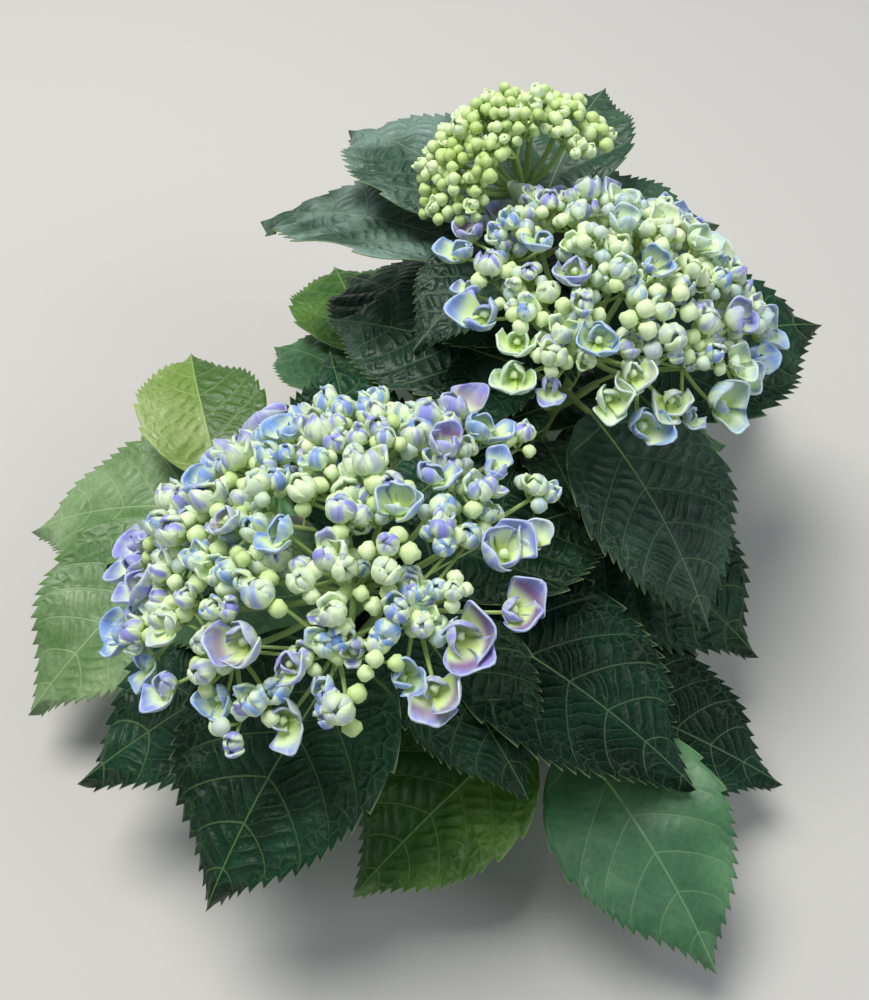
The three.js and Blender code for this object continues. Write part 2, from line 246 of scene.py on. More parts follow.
@lru_cache
def rod(sides, steps):
    """A closed rod of radius 1 from z -0.5 to 0.5, cut across into steps"""
    bm = bmesh.new()
    bmesh.ops.create_cone(bm, cap_ends=True, segments=sides, radius1=1, radius2=1, depth=1)
    upright = [edge for edge in bm.edges if abs(edge.verts[0].co.z - edge.verts[1].co.z) > 0.5]
    if steps > 1:
        bmesh.ops.subdivide_edges(bm, edges=upright, cuts=steps - 1)
    return Shape(bm)


def ball(around, rings):
    """A round bud of radius 1 with its pole up"""
    bm = bmesh.new()
    bmesh.ops.create_uvsphere(bm, u_segments=around, v_segments=rings, radius=1)
    return Shape(bm)


def new_object(name, data):
    made = bpy.data.objects.new(name, data)
    bpy.context.scene.collection.objects.link(made)
    return made


def place_piece(mesh, node, slot):
    """Makes a mesh a piece that rides on the root and stands for a node of the part"""
    piece = new_object(mesh.name, mesh)
    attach(piece, "root")
    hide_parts(node)


def mesh_from(name, bm, material):
    mesh = bpy.data.meshes.new(name)
    bm.to_mesh(mesh)
    bm.free()
    mesh.materials.append(material)
    return mesh


def lay_out(mesh, shapes):
    """Gives each shape a square cell of its own on the map that the colours are laid on"""
    cells_a_side = math.ceil(math.sqrt(len(shapes)))
    placed = []
    for cell, shape in enumerate(shapes):
        row, column = divmod(cell, cells_a_side)
        placed.append((shape.flat + (column, row)) / cells_a_side)
    layer = mesh.uv_layers.new(name="OFBake")
    layer.data.foreach_set("uv", np.concatenate(placed).ravel())


class Growth:
    """A mesh that many small shapes are gathered into"""

    def __init__(self):
        self.gathered = []
        self.marks = {}

    def add(self, shape, places, slots=0, **marks):
        """Adds a shape whose corners have been moved to places, with marks for its material"""
        self.gathered.append((shape, places, np.broadcast_to(slots, shape.sizes.shape)))
        for mark, values in marks.items():
            width = (len(places), 3) if np.ndim(values) == 2 else (len(places),)
            self.marks.setdefault(mark, []).append(np.broadcast_to(values, width))

    def finish(self, node, kind, slot, materials, laid_out=True):
        """Makes the gathered shapes one piece, named for its node and its kind"""
        shapes, places, slots = zip(*self.gathered)
        first_corners = np.cumsum([0, *map(len, places[:-1])])
        loops = np.concatenate([shape.loops + first for shape, first in zip(shapes, first_corners)])
        sizes = np.concatenate([shape.sizes for shape in shapes])
        places = np.concatenate(places) * MM
        mesh = bpy.data.meshes.new(f"{node}_{kind}")
        mesh.vertices.add(len(places))
        mesh.loops.add(len(loops))
        mesh.polygons.add(len(sizes))
        mesh.vertices.foreach_set("co", places.ravel())
        mesh.loops.foreach_set("vertex_index", loops)
        mesh.polygons.foreach_set("loop_start", np.concatenate([[0], np.cumsum(sizes)[:-1]]))
        mesh.polygons.foreach_set("material_index", np.concatenate(slots).astype(int))
        mesh.polygons.foreach_set("use_smooth", np.ones(len(sizes), dtype=bool))
        mesh.update(calc_edges=True)
        for mark, values in self.marks.items():
            values = np.concatenate(values)
            form, entry = ("FLOAT_VECTOR", "vector") if values.ndim == 2 else ("FLOAT", "value")
            mesh.attributes.new(mark, form, "POINT").data.foreach_set(entry, values.ravel())
        if laid_out:
            lay_out(mesh, shapes)
        for material in materials:
            mesh.materials.append(material)
        mesh.validate()
        place_piece(mesh, node, slot)


# Stems


def head_frame(name):
    """The way a stem's upper end points, and the two ways across it"""
    stem = STEMS[name]
    axis = direction(stem.lean_turn, 90 - stem.lean)
    across = unit(np.array([1.0, 0, 0]) - axis * axis[0])
    return axis, across, np.cross(axis, across)


def stem_line(name, shares):
    """Places and headings on a stem's line, at shares of it from the crown to its end"""
    stem = STEMS[name]
    foot = direction(stem.foot, 0) * CANE_RING + (0, 0, CROWN_HEIGHT + CLEARANCE)
    end = np.array(stem.end, dtype=float)
    above_foot = foot + (0, 0, stem.rise)
    before_end = end - head_frame(name)[0] * 0.36 * np.linalg.norm(foot - end)
    share = np.asarray(shares, dtype=float)[..., None]
    rest = 1 - share
    places = (rest ** 3 * foot + 3 * rest ** 2 * share * above_foot
              + 3 * rest * share ** 2 * before_end + share ** 3 * end)
    headings = (rest ** 2 * (above_foot - foot) + 2 * rest * share * (before_end - above_foot)
                + share ** 2 * (end - before_end))
    return places, unit(headings)


def stem_length(name):
    places = stem_line(name, np.linspace(0, 1, 201))[0]
    return np.linalg.norm(np.diff(places, axis=0), axis=1).sum()


def share_before(name, length):
    """The share of a stem's line that lies a given length before its end"""
    return 1 - length / stem_length(name)


def add_rod(growth, points, radii, sides, headings=None, relief=None, **kept):
    """Adds a tapering rod through points, with the radius at each. relief gives how far its skin
    stands out, from a corner's place."""
    points = np.asarray(points, dtype=float)
    steps = len(points) - 1
    shape = rod(sides, steps)
    if headings is None:
        headings = unit(np.gradient(points, axis=0))
    # The section is turned by the axis that the rod comes least near to
    steady = np.eye(3)[np.argmin(np.abs(headings).max(axis=0))]
    side = unit(np.cross(steady, headings))
    up = np.cross(headings, side)
    station = np.rint((shape.corners[:, 2] + 0.5) * steps).astype(int)
    out = side[station] * shape.corners[:, :1] + up[station] * shape.corners[:, 1:2]
    reach = np.broadcast_to(radii, len(points))[station]
    places = points[station] + out * reach[:, None]
    if relief is not None:
        places = places + out * np.array([[relief(place)] for place in places])
    growth.add(shape, places, **kept)


def arched(start, middle, end, steps):
    """Points on a smooth arc from start to end that passes near middle"""
    start, middle, end = (np.asarray(point, dtype=float) for point in (start, middle, end))
    share = np.linspace(0, 1, steps + 1)[:, None]
    control = 2 * middle - (start + end) / 2
    return (1 - share) ** 2 * start + 2 * share * (1 - share) * control + share ** 2 * end


# Materials


class Reading:
    """A value or a vector that varies over a surface. What is worked out from it is made of nodes too."""

    def __init__(self, wiring, socket):
        self.wiring = wiring
        self.socket = socket

    def math(self, operation, other=0.0):
        return self.wiring.read("ShaderNodeMath", 0, {0: self, 1: other}, operation=operation)

    def __add__(self, other):
        return self.math("ADD", other)

    def __mul__(self, other):
        return self.math("MULTIPLY", other)

    def __abs__(self):
        return self.math("ABSOLUTE")

    def most(self, other):
        return self.math("MAXIMUM", other)

    def from_middle(self):
        """How far a running count is from the middle between two whole numbers"""
        return abs(self.math("FRACT").math("SUBTRACT", 0.5))

    def fade(self, low, high, start=0.0, end=1.0):
        inputs = {"Value": self, "From Min": low, "From Max": high, "To Min": start, "To Max": end}
        return self.wiring.read("ShaderNodeMapRange", 0, inputs, interpolation_type="SMOOTHSTEP")

    def parts(self):
        """The three numbers of a vector"""
        return self.wiring.readings(self.wiring.node("ShaderNodeSeparateXYZ", {0: self})).values()

    def vector_math(self, operation, other):
        return self.wiring.read("ShaderNodeVectorMath", 0, {0: self, 1: other}, operation=operation)

    def stretch(self, factors):
        return self.vector_math("MULTIPLY", factors)

    def shifted(self, draw, reach):
        """The flat place of a vector, moved to a part of the noise that a draw picks"""
        drift = self.wiring.read("ShaderNodeCombineXYZ", 0, {"Z": draw * reach})
        return self.stretch((1, 1, 0)).vector_math("ADD", drift)

    def cloud(self, scale, detail=2.0):
        inputs = {"Vector": self, "Scale": scale, "Detail": detail}
        return self.wiring.read("ShaderNodeTexNoise", "Fac", inputs)

    def net(self, scale):
        """How far each place is from the edges of a net of small cells"""
        inputs = {"Vector": self, "Scale": scale}
        return self.wiring.read("ShaderNodeTexVoronoi", "Distance", inputs, feature="DISTANCE_TO_EDGE")


class Wiring:
    """Adds nodes to one tree and joins them up"""

    def __init__(self, tree):
        self.tree = tree

    def feed(self, socket, value):
        if isinstance(value, Reading):
            self.tree.links.new(value.socket, socket)
        else:
            socket.default_value = value

    def node(self, kind, inputs=(), **settings):
        made = self.tree.nodes.new(kind)
        for setting, value in settings.items():
            setattr(made, setting, value)
        for key, value in dict(inputs).items():
            self.feed(made.inputs[key], value)
        return made

    def readings(self, node):
        return {socket.name: Reading(self, socket) for socket in node.outputs}

    def read(self, kind, output, inputs=(), **settings):
        return Reading(self, self.node(kind, inputs, **settings).outputs[output])

    def place(self):
        return self.read("ShaderNodeTexCoord", "Object")

    def mark(self, name, output="Vector"):
        return self.read("ShaderNodeAttribute", output, attribute_name=name)

    def blend(self, share, first, second, way="MIX"):
        inputs = {0: share, 6: first, 7: second}
        return self.read("ShaderNodeMix", 2, inputs, data_type="RGBA", blend_type=way)


def colour(red, green, blue):
    """A screen colour of 0 to 255 as the renderer's linear colour"""
    channels = [value / 255 for value in (red, green, blue)]
    linear = [value / 12.92 if value < 0.04045 else ((value + 0.055) / 1.055) ** 2.4 for value in channels]
    return (*linear, 1.0)


BLACK = (0.0, 0.0, 0.0, 1.0)


def new_group(name, inputs, outputs):
    tree = bpy.data.node_groups.new(name, "ShaderNodeTree")
    for label, value in inputs.items():
        kind = "NodeSocketColor" if isinstance(value, tuple) else "NodeSocketFloat"
        tree.interface.new_socket(name=label, in_out="INPUT", socket_type=kind).default_value = value
    for label in outputs:
        kind = "NodeSocketColor" if label == "Colour" else "NodeSocketFloat"
        tree.interface.new_socket(name=label, in_out="OUTPUT", socket_type=kind)
    wiring = Wiring(tree)
    return tree, wiring, wiring.readings(wiring.node("NodeGroupInput")), wiring.node("NodeGroupOutput").inputs


def new_material(name, roughness, specular):
    material = bpy.data.materials.new(name)
    material.use_nodes = True
    tree = material.node_tree
    shader = next(node for node in tree.nodes if node.type == "BSDF_PRINCIPLED")
    shader.inputs["Roughness"].default_value = roughness
    shader.inputs["Specular IOR Level"].default_value = specular
    return material, Wiring(tree), shader.inputs


def add_bump(wiring, shader, height, strength, distance):
    inputs = {"Height": height, "Strength": strength, "Distance": distance * MM}
    wiring.feed(shader["Normal"], wiring.read("ShaderNodeBump", 0, inputs))


def skinned_material(name, group, values, roughness, specular, strength, relief):
    """A material that wears a node group, with some of the group's values set"""
    material, wiring, shader = new_material(name, roughness, specular)
    worn = wiring.node("ShaderNodeGroup", node_tree=group)
    for label, value in values.items():
        worn.inputs[label].default_value = value
    skin = wiring.readings(worn)
    wiring.feed(shader["Base Color"], skin["Colour"])
    if "Roughness" in skin:
        wiring.feed(shader["Roughness"], skin["Roughness"])
    add_bump(wiring, shader, skin["Height"], strength, relief)
    return material


def blade_group():
    """A leaf's skin. The mark blade holds millimetres across and along the blade and the count of
    side veins passed, and trim holds how near the edge a place is, its share of the length and a
    draw for the leaf."""
    tree, wiring, given, out = new_group(
        "blade skin",
        {"Deep": BLACK, "Light": BLACK, "Vein": BLACK, "Edge": BLACK, "Shaded Half": BLACK,
         "Shade Share": 0.0, "Vein Strength": 0.0, "Net Strength": 0.0},
        ("Colour", "Height", "Roughness"),
    )
    blade = wiring.mark("blade")
    across, along, passed = blade.parts()
    edge, share, leaf_draw = wiring.mark("trim").parts()
    place = blade.shifted(leaf_draw, 400.0)
    off_midrib = abs(across)

    midrib_width = share * -0.55 + 0.95
    midrib = off_midrib.fade(midrib_width, midrib_width * 0.4)
    to_middle = passed.from_middle()
    side_vein = to_middle.fade(0.466, 0.49) * edge.fade(0.98, 0.75) * 0.7
    vein = midrib.most(side_vein)

    # Small ribs cross from each side vein to the next and give way to a net of cells near the edge
    band = passed.math("FLOOR") + leaf_draw * 7.0 + across.math("SIGN") * 30.5
    band_draw = wiring.read("ShaderNodeTexWhiteNoise", "Value", {"W": band}, noise_dimensions="1D")
    wander = place.cloud(0.06, 1.0) * 1.7
    rung = off_midrib * (0.65 / RIB_SPACING) + along * (0.75 / RIB_SPACING) + (band_draw + wander)
    to_rib = rung.from_middle()
    cell = place.net(1.1 / RIB_SPACING)
    netted = edge.fade(0.4, 0.9, 0.08, 0.9)
    rib_line = wiring.blend(netted, to_rib.fade(0.455, 0.49), cell.fade(0.05, 0.015))
    fine_cell = place.net(0.4)
    rib_vein = rib_line.most(fine_cell.fade(0.06, 0.02) * 0.3)

    tone = place.cloud(0.035, 3.0).fade(0.35, 0.65)
    shade = wiring.blend(tone, given["Deep"], given["Light"])
    # Painted shade: the half on the negative side of the midrib darkens towards the green of a half that lies
    # in shade, by the given share
    shade = wiring.blend(across.fade(1.0, -1.0) * given["Shade Share"], shade, given["Shaded Half"])
    freckle = place.cloud(0.5).fade(0.3, 0.7, 0.9, 1.08)
    shade = wiring.blend(1.0, shade, freckle, "MULTIPLY")
    shade = wiring.blend(rib_vein * given["Net Strength"], shade, given["Vein"])
    shade = wiring.blend(vein * given["Vein Strength"], shade, given["Vein"])
    shade = wiring.blend(edge.fade(0.972, 0.998) * 0.75, shade, given["Edge"])
    wiring.feed(out["Colour"], shade)

    pillow = wiring.blend(netted, to_rib.fade(0.5, 0.08), cell.fade(0.0, 0.36))
    pillow = pillow * to_middle.fade(0.5, 0.3) * off_midrib.fade(0.5, 4.0) * edge.fade(1.0, 0.8)
    pebbles = fine_cell.fade(0.0, 0.3) * 0.08
    wiring.feed(out["Height"], pillow + pebbles + vein * -0.4)
    wiring.feed(out["Roughness"], place.cloud(0.2).fade(0.3, 0.7, 0.4, 0.54))
    return tree


BLADE_GROUP = blade_group()


def leaf_material(name, deep, light, vein, edge, strengths, specular, relief, far=(0, 0, 0), shaded_share=0.0):
    """A leaf's finish from its greens and the strengths of its veins and of their net. On one side of the
    midrib it takes on the darker green far by the given share, as painted shade on a half that lies in shade."""
    values = {"Deep": colour(*deep), "Light": colour(*light), "Vein": colour(*vein), "Edge": colour(*edge),
              "Vein Strength": strengths[0], "Net Strength": strengths[1], "Shaded Half": colour(*far),
              "Shade Share": shaded_share}
    return skinned_material(name, BLADE_GROUP, values, 0.45, specular, 1.0, relief)


# Finishes of the leaves: deep, light, vein and edge greens, strengths of the veins and of their net, gloss,
# relief in millimetres, and the green and the share of a half in painted shade where one half lies in shade
LEAF_FINISHES = {
    "dark": ((3, 38, 20), (16, 64, 42), (108, 142, 84), (150, 172, 124),
             (0.6, 0.24), 0.26, 1.0),
    "deep": ((3, 26, 16), (10, 46, 32), (102, 130, 96), (150, 172, 124),
             (0.55, 0.25), 0.14, 1.0),
    "slate": ((16, 48, 34), (46, 78, 62), (120, 150, 104), (140, 164, 108),
              (0.5, 0.22), 0.36, 1.0),
    "middle": ((52, 98, 60), (82, 130, 80), (138, 172, 114), (140, 172, 100),
               (0.4, 0.12), 0.5, 0.4),
    "smooth": ((56, 102, 66), (82, 128, 84), (132, 168, 116), (140, 172, 110),
               (0.4, 0.05), 0.4, 0.12),
    "bright": ((90, 128, 72), (132, 162, 112), (176, 204, 152), (160, 196, 120),
               (0.5, 0.12), 0.5, 0.5),
    # The last green and share of the lime and fresh leaves are painted shade on one half of the blade
    "lime": ((118, 150, 66), (152, 174, 106), (184, 208, 134), (176, 208, 110),
             (0.5, 0.15), 0.5, 0.6, (54, 96, 30), 0.9),
    "fresh": ((40, 90, 12), (84, 126, 44), (140, 172, 96), (150, 184, 96),
              (0.5, 0.15), 0.5, 0.6, (26, 78, 6), 0.8),
    "sage": ((32, 68, 46), (60, 94, 70), (132, 160, 114), (130, 160, 104),
             (0.5, 0.12), 0.5, 0.6),
    # Painted sheen: the light green of these back leaves stands for gloss that catches the sky, laid on in
    # patches by the tone cloud
    "painted_sheen": ((44, 78, 58), (116, 144, 132), (140, 164, 130), (134, 160, 112),
              (0.5, 0.12), 0.45, 1.1),
    "underside": ((90, 124, 80), (116, 146, 100), (166, 186, 132), (150, 170, 110),
                  (0.8, 0.45), 0.3, 0.4),
}
LEAF_MATERIALS = [leaf_material(f"{name} leaf", *finish) for name, finish in LEAF_FINISHES.items()]
FINISH_NAMES = list(LEAF_FINISHES)

# How far a blade bulges between its side veins, in millimetres
QUILTING = {"dark": 2.2, "deep": 2.2, "slate": 2.2, "painted_sheen": 2.2, "sage": 1.8, "middle": 1.5, "smooth": 0.7}
PLAIN_QUILTING = 1.2


def stem_material():
    """Fresh green stem with short brown flecks along it"""
    material, wiring, shader = new_material("green stem", 0.5, 0.4)
    place = wiring.place()
    stretched = place.stretch((1, 1, 0.3))
    fleck = stretched.cloud(900.0, 1.0).fade(0.62, 0.72)
    tone = place.cloud(60.0).fade(0.35, 0.65)
    shade = wiring.blend(tone, colour(104, 134, 72), colour(146, 170, 98))
    wiring.feed(shader["Base Color"], wiring.blend(fleck * 0.55, shade, colour(104, 84, 66)))
    add_bump(wiring, shader, stretched.cloud(700.0, 3.0), 0.3, 0.3)
    return material


def bark_material(name, deep, light, fresh, fresh_from, fresh_to):
    """Fissured bark, greener between two heights in millimetres"""
    material, wiring, shader = new_material(name, 0.85, 0.25)
    place = wiring.place()
    grain = place.stretch((1, 1, 0.22)).cloud(600.0, 4.0)
    patches = place.cloud(120.0, 3.0).fade(0.35, 0.65)
    shade = wiring.blend(grain.fade(0.38, 0.6), colour(*deep), colour(*light))
    shade = wiring.blend(patches * 0.35, shade, colour(150, 140, 120))
    _, _, height = place.parts()
    greening = height.fade(fresh_from * MM, fresh_to * MM) * 0.8
    wiring.feed(shader["Base Color"], wiring.blend(greening, shade, colour(*fresh)))
    add_bump(wiring, shader, grain, 0.6, 0.6)
    return material


def ray_material(name, tone):
    """A plain tone for rays, with a faint grain in its relief"""
    material, wiring, shader = new_material(name, 0.55, 0.4)
    shader["Base Color"].default_value = tone
    add_bump(wiring, shader, wiring.place().cloud(500.0), 0.25, 0.3)
    return material


def sepal_group():
    """The skin of sepals and buds. The mark sepal holds how far across and along a place is and a
    draw, and flush how much blue the bloom has taken on."""
    tree, wiring, given, out = new_group(
        "sepal skin",
        {"Green": colour(196, 220, 118), "Cream": colour(232, 249, 210), "Blue": colour(128, 162, 224),
         "Violet": colour(150, 148, 226), "Plum": colour(122, 60, 140), "Pale": colour(214, 234, 250),
         "Tip": 0.0, "Rim": 0.0, "Spine": 0.0, "Plum Share": 0.0},
        ("Colour", "Height"),
    )
    sepal = wiring.mark("sepal")
    across, along, draw = sepal.parts()
    flush = wiring.mark("flush", "Fac")
    place = sepal.shifted(draw, 90.0)
    blotch = place.cloud(1.1).fade(0.34, 0.54)
    streak = place.stretch((1.6, 0.8, 1)).cloud(1.4, 3.0).fade(0.3, 0.7)

    off_middle = abs(across)
    to_edge = off_middle.most(along)
    tip = along.fade(0.3, 0.92) * given["Tip"]
    rim = to_edge.fade(0.66, 0.9) * given["Rim"]
    spine = off_middle.fade(0.9, 0.15) * along.fade(0.2, 0.6) * blotch * given["Spine"]
    amount = tip.most(rim).most(spine) * streak.fade(0.0, 1.0, 0.65, 1.0) * flush

    ground = wiring.blend(along.fade(0.05, 0.55), given["Green"], given["Cream"])
    ground = wiring.blend(blotch.most(streak) * 0.35, ground, given["Green"])
    ink = wiring.blend(draw.fade(0.3, 0.7), given["Blue"], given["Violet"])
    inked = wiring.blend(amount.fade(0.05, 0.95), ground, ink)
    plum = draw.fade(0.66, 0.72) * given["Plum Share"] * to_edge.fade(0.9, 0.6) * along.fade(0.3, 0.6) * flush
    inked = wiring.blend(plum, inked, given["Plum"])
    pale = to_edge.fade(0.94, 1.0) * given["Rim"] * 0.5
    wiring.feed(out["Colour"], wiring.blend(pale, inked, given["Pale"]))
    wiring.feed(out["Height"], streak)
    return tree


SEPAL_GROUP = sepal_group()


def sepal_material(name, values):
    return skinned_material(name, SEPAL_GROUP, values, 0.5, 0.35, 0.25, 0.2)


BLOOM_SKINS = [
    sepal_material("sepal inside", {"Tip": 1.0, "Rim": 1.0, "Plum Share": 0.8}),
    sepal_material("sepal outside", {"Tip": 0.8, "Rim": 0.7, "Spine": 1.0}),
    sepal_material("opening bud", {"Tip": 0.35, "Rim": 0.15, "Spine": 1.0}),
]
INSIDE, OUTSIDE, OPENING = range(3)
BUD_TONES = [
    sepal_material(name, {"Green": colour(*green), "Cream": colour(*cream), "Tip": tip})
    for name, green, cream, tip in [
        ("lime bud", (160, 188, 90), (204, 226, 146), 0.0),
        ("pale lime bud", (168, 196, 106), (212, 234, 164), 0.0),
        ("pale bud", (190, 214, 130), (228, 246, 190), 0.0),
        ("cream bud", (204, 226, 152), (236, 250, 208), 0.0),
        ("blue-tinged bud", (192, 214, 150), (220, 240, 214), 0.5),
    ]
]
RAY_TONES = [ray_material("pale ray", colour(144, 170, 102)), ray_material("lime ray", colour(168, 194, 118))]
GREEN_STEM = stem_material()
OLD_BARK = bark_material("old bark", (70, 54, 40), (124, 102, 78), (110, 96, 70), 24, 60)
CANE_BARK = bark_material("cane bark", (104, 84, 56), (158, 136, 96), (122, 140, 78), 34, 84)


# Crown and canes


def grow_crown():
    """The short woody foot: a flared, lobed and fissured stump, flat underneath"""
    outline = [
        (0, 0), (ROOT_FLARE, 0), (ROOT_FLARE * 0.86, 3.6), (CROWN_RADIUS * 1.12, 9), (CROWN_RADIUS, 18),
        (CROWN_RADIUS * 1.05, 28), (CROWN_RADIUS, CROWN_HEIGHT), (0, CROWN_HEIGHT),
    ]
    bm = bmesh.new()
    verts = [bm.verts.new((radius, 0, height)) for radius, height in outline]
    edges = [bm.edges.new(pair) for pair in zip(verts, verts[1:])]
    bmesh.ops.subdivide_edges(bm, edges=edges, cuts=5)
    bmesh.ops.spin(bm, geom=bm.verts[:] + bm.edges[:], angle=2 * math.pi, steps=96, axis=(0, 0, 1),
                   cent=(0, 0, 0), use_merge=True)
    bmesh.ops.remove_doubles(bm, verts=bm.verts[:], dist=0.01)
    bmesh.ops.recalc_face_normals(bm, faces=bm.faces[:])
    for vert in bm.verts:
        turn = math.atan2(vert.co.y, vert.co.x)
        low = 1 - vert.co.z / CROWN_HEIGHT
        swell = 1 + 0.12 * low * math.cos(ROOT_LOBES * turn)
        fissure = noise.fractal(Vector((vert.co.x * 0.5, vert.co.y * 0.5, vert.co.z * 0.12)), 1, 2, 4)
        reach = math.hypot(vert.co.x, vert.co.y) / CROWN_RADIUS
        swell += 0.045 * fissure * min(reach, 1)
        vert.co.x *= swell
        vert.co.y *= swell
        vert.co *= MM
    mesh = mesh_from("crown_bark", bm, OLD_BARK)
    mesh.polygons.foreach_set("use_smooth", [True] * len(mesh.polygons))
    place_piece(mesh, "crown", "old_wood")


def grow_cane(name):
    """The woody part of a stem, with flaking bark and swollen rings at its old leaf scars"""
    stem = STEMS[name]
    shares = np.linspace(0, stem.leaf_from, 49)
    points, headings = stem_line(name, shares)
    ringed = 1 + 0.07 * np.cos(shares * 60)
    radii = stem.girth * (1 - 0.3 * shares / stem.leaf_from) * ringed

    def bark(place):
        return 0.22 * noise.fractal(Vector(place) * 0.9, 1, 2, 3)

    growth = Growth()
    add_rod(growth, points, radii, 20, headings, relief=bark)
    growth.finish(f"cane_{name}", "bark", "cane_bark", [CANE_BARK], laid_out=False)


# Leaves


LEAF_SLAB = slab(LEAF_COLUMNS, LEAF_ROWS)
YOUNG_SLAB = slab(LEAF_COLUMNS // 2, YOUNG_ROWS)


def blade_half_width(share):
    drawn_out = smooth_step(share, 0.68, 1)
    return np.sin(np.pi * np.clip(share, 0, 1) ** 0.72) ** 0.92 * (1 - 0.42 * drawn_out)


def through_stations(stations, share):
    """Smooth places between the stations of a blade's midrib"""
    last = len(stations) - 1
    spot = np.clip(share, 0, 1) * last
    low = np.minimum(spot.astype(int), last - 1)
    part = (spot - low)[:, None]
    before, start = stations[np.maximum(low - 1, 0)], stations[low]
    end, after = stations[low + 1], stations[np.minimum(low + 2, last)]
    return 0.5 * (2 * start + (end - before) * part
                  + (2 * before - 5 * start + 4 * end - after) * part ** 2
                  + (3 * start - before - 3 * end + after) * part ** 3)


def add_leaf(blades, stalks, name, at, leaf, seed, shape=LEAF_SLAB, rows=LEAF_ROWS):
    """One leaf by the source's rule, with teeth, side veins and quilting added"""
    turn, size, base_slope, tip_slope, finish, *tilt = leaf
    draw = seeded_draws(seed)
    length = BLADE_LENGTH * size
    swing = (draw() - 0.5) * LEAF_SWING
    roll = tilt[0] if tilt else (draw() - 0.5) * LEAF_ROLL
    leaf_draw = draw()
    step = length / BLADE_STATIONS
    half_width = length * BLADE_WIDTH_SHARE / 2
    stalk_radius = length * 0.013

    def heading(share):
        return direction(turn + swing * (share - 0.5), base_slope + (tip_slope - base_slope) * share ** 1.15)

    def level_side(share):
        return direction(turn + swing * (share - 0.5) + 90, 0)

    foot = stem_line(name, at)[0]
    stalk_way = direction(turn - swing * 0.5, base_slope + STALK_RISE)
    blade_foot = foot + stalk_way * length * STALK_SHARE
    steps = heading(np.arange(BLADE_STATIONS) / BLADE_STATIONS) * step
    midrib = blade_foot + np.concatenate([[np.zeros(3)], np.cumsum(steps, axis=0)])

    corner = shape.corners
    across = corner[:, 0]
    row = np.rint((corner[:, 1] + 1) / 2 * rows)
    out = np.abs(across)
    along_rib = (row / rows) ** 1.12
    sweep = VEIN_SWEEP * smooth_step(along_rib, 0, 0.24) * (1 - along_rib) ** 0.9
    share = np.clip(along_rib + sweep * out ** 1.2, 0, 1)

    heading_here = heading(share)
    angle = np.radians(roll)
    side = level_side(share) * np.cos(angle) + np.cross(heading_here, level_side(share)) * np.sin(angle)
    up = np.cross(heading_here, side)

    tooth = (row % TOOTH_ROWS) / (TOOTH_ROWS - 1)
    at_edge = smooth_step(out, 0.8, 1)
    toothed = np.where(row < rows, 1 + TOOTH_DEPTH * (tooth - 0.6) * at_edge, 1)
    wide = np.maximum(half_width * blade_half_width(share) * toothed, stalk_radius * (1 - share) + 0.35)
    ahead = at_edge * tooth ** 2 * length / rows * 2.6 * smooth_step(share, 0.02, 0.1) * (share < 0.97)

    passed = along_rib * VEIN_PAIRS + leaf_draw
    pillow = np.abs(np.sin(np.pi * passed)) ** 0.75
    body = smooth_step(out, 0.02, 0.2) * (1 - 0.75 * smooth_step(out, 0.8, 1)) * smooth_step(share, 0, 0.08)
    body = body * (1 - smooth_step(share, 0.86, 1))
    quilting = size * QUILTING.get(finish, PLAIN_QUILTING)
    wave = 1.6 * size * np.sin(share * 19 + leaf_draw * 40 + 2 * (across > 0)) * out ** 2
    lift = wide * 0.2 * out ** 1.15 - length * 0.05 * share ** 2 * out ** 1.6
    height = lift + (pillow - 0.5) * quilting * body + wave * smooth_step(share, 0.05, 0.3)
    height = height + corner[:, 2] * LEAF_THICKNESS

    places = (through_stations(midrib, share) + side * (wide * across)[:, None]
              + up * height[:, None] + heading_here * ahead[:, None])
    slots = np.where(shape.is_under, FINISH_NAMES.index("underside"), FINISH_NAMES.index(finish))
    blades.add(
        shape, places, slots,
        blade=columns(across * wide, share * length, passed),
        trim=columns(out * (0.975 + 0.025 * tooth), share, leaf_draw),
    )

    rib_shares = np.linspace(0, 0.9, 15)
    rib_up = unit(np.cross(heading(rib_shares), level_side(rib_shares)))
    rib = through_stations(midrib, rib_shares) - rib_up * (0.5 + quilting * 0.1)
    stalk = foot + stalk_way * length * STALK_SHARE * np.linspace(0, 1, 7)[:-1, None]
    sag = -np.sin(np.linspace(0, np.pi, 7))[:-1, None] * (0, 0, length * 0.008)
    points = np.concatenate([stalk + sag, rib])
    radii = np.concatenate([np.linspace(1.25, 1.0, 6) * stalk_radius,
                            stalk_radius * (0.95 - 0.8 * rib_shares)])
    add_rod(stalks, points, radii, 8)


